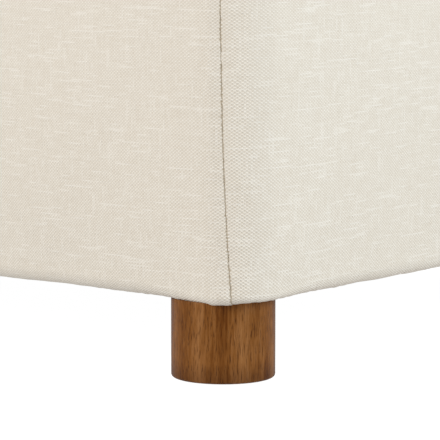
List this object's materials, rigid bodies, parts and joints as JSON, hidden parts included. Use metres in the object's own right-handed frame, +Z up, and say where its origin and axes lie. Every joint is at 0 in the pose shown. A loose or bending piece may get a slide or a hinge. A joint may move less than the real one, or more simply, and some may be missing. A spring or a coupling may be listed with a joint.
{
  "type": "storage ottoman",
  "caption": "Upholstered storage ottoman in pale linen-look cloth, with a padded lid on hinges and folding stays, and turned walnut-stained wooden feet.",
  "frame": {"origin": "floor level under the middle of the box, on the bottom of the felt glides", "axes": "+Z up, front towards -Y, +X to the right seen from the front, along the longest side"},
  "size_m": [0.76, 0.52, 0.44],
  "materials": {
    "linen_cloth": "matte",
    "lining_cloth": "matte",
    "dust_cloth": "matte",
    "foam": "matte",
    "stained_walnut": "satin",
    "plywood": "matte",
    "zinc_steel": "satin",
    "felt": "matte",
    "rubber": "matte"
  },
  "bodies": {
    "base": {"base_panel": "plywood", "front_panel": "plywood", "right_panel": "plywood", "back_panel": "plywood", "left_panel": "plywood", "front_right_post": "plywood", "back_right_post": "plywood", "back_left_post": "plywood", "front_left_post": "plywood", "front_foam": "foam", "right_foam": "foam", "back_foam": "foam", "left_foam": "foam", "front_cover": "linen_cloth", "right_cover": "linen_cloth", "back_cover": "linen_cloth", "left_cover": "linen_cloth", "storage_liner": "lining_cloth", "dust_cover": "dust_cloth", "front_right_leg": "stained_walnut", "back_right_leg": "stained_walnut", "back_left_leg": "stained_walnut", "front_left_leg": "stained_walnut", "front_right_hanger_bolt": "zinc_steel", "back_right_hanger_bolt": "zinc_steel", "back_left_hanger_bolt": "zinc_steel", "front_left_hanger_bolt": "zinc_steel", "front_right_t_nut": "zinc_steel", "back_right_t_nut": "zinc_steel", "back_left_t_nut": "zinc_steel", "front_left_t_nut": "zinc_steel", "front_right_glide": "felt", "back_right_glide": "felt", "back_left_glide": "felt", "front_left_glide": "felt", "right_hinge_body_leaf": "zinc_steel", "right_hinge_pin": "zinc_steel", "right_stay_body_bracket": "zinc_steel", "left_hinge_body_leaf": "zinc_steel", "left_hinge_pin": "zinc_steel", "left_stay_body_bracket": "zinc_steel"},
    "lid": {"lid_board": "plywood", "lid_foam": "foam", "lid_band": "linen_cloth", "lid_top_cover": "linen_cloth", "lid_lining": "lining_cloth", "right_lid_bumper": "rubber", "left_lid_bumper": "rubber", "right_hinge_lid_leaf": "zinc_steel", "right_stay_lid_bracket": "zinc_steel", "right_stay_lid_rivet": "zinc_steel", "left_hinge_lid_leaf": "zinc_steel", "left_stay_lid_bracket": "zinc_steel", "left_stay_lid_rivet": "zinc_steel"},
    "right_lower_arm": {"right_stay_lower_arm": "zinc_steel", "right_stay_elbow_rivet": "zinc_steel"},
    "right_upper_arm": {"right_stay_upper_arm": "zinc_steel"},
    "left_lower_arm": {"left_stay_lower_arm": "zinc_steel", "left_stay_elbow_rivet": "zinc_steel"},
    "left_upper_arm": {"left_stay_upper_arm": "zinc_steel"}
  },
  "joints": [
    {"name": "lid_hinge", "type": "hinge", "parent": "base", "child": "lid", "pos_m": [0, 0.256, 0.354], "axis": [-1, 0, 0], "range_deg": [0, 100]},
    {"name": "right_stay_pivot", "type": "hinge", "parent": "base", "child": "right_lower_arm", "pos_m": [0.34425, 0.205, 0.206], "axis": [-1, 0, 0], "range_deg": [0, 100]},
    {"name": "right_stay_elbow", "type": "hinge", "parent": "right_lower_arm", "child": "right_upper_arm", "pos_m": [0.34105, 0.055, 0.192], "axis": [1, 0, 0], "range_deg": [0, 100]},
    {"name": "left_stay_pivot", "type": "hinge", "parent": "base", "child": "left_lower_arm", "pos_m": [-0.34425, 0.205, 0.206], "axis": [-1, 0, 0], "range_deg": [0, 100]},
    {"name": "left_stay_elbow", "type": "hinge", "parent": "left_lower_arm", "child": "left_upper_arm", "pos_m": [-0.34105, 0.055, 0.192], "axis": [1, 0, 0], "range_deg": [0, 100]}
  ],
  "couplings": [
    {"joint": "right_stay_pivot", "follows": "lid_hinge", "ratio": 1},
    {"joint": "right_stay_elbow", "follows": "lid_hinge", "ratio": 1},
    {"joint": "left_stay_pivot", "follows": "lid_hinge", "ratio": 1},
    {"joint": "left_stay_elbow", "follows": "lid_hinge", "ratio": 1}
  ]
}
